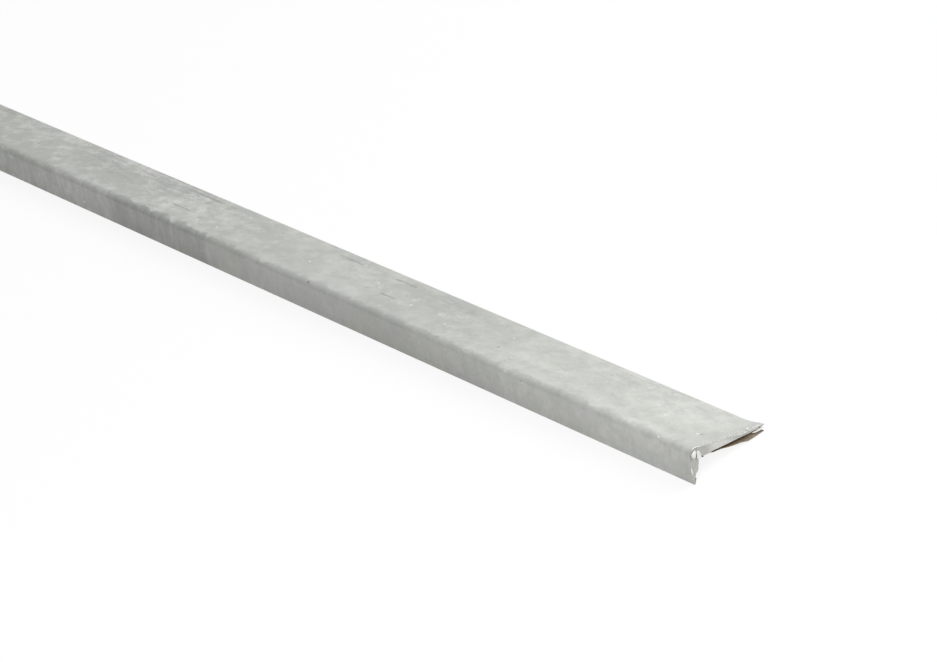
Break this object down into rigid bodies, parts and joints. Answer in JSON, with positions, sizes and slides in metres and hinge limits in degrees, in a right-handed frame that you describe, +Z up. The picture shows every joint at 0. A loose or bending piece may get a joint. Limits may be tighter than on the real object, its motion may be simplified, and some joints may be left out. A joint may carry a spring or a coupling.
{
  "type": "self-adhesive corner profile",
  "caption": "Slim aluminium angle trim wrapped in concrete-look foil, with a tape-backed flange and a sagging paper liner, for finishing step and floor edges.",
  "frame": {"origin": "on the floor, in the middle of the outline seen from above, halfway along the length", "axes": "+X along the stock towards the end where the liner sags, +Y from the lip to the flange's back edge, +Z up; the angle lies at rest on its lip's tip and its back edge"},
  "size_m": [1, 0.0254, 0.0093],
  "materials": {
    "profile_core": "mill finish, sawn bright at the ends",
    "decor_foil": "matte printed foil, pale concrete look",
    "adhesive_tape": "matte foam tape",
    "release_liner": "brown kraft paper"
  },
  "bodies": {
    "root": {"profile_core": "profile_core", "decor_foil": "decor_foil", "adhesive_tape": "adhesive_tape", "release_liner": "release_liner"}
  },
  "joints": []
}
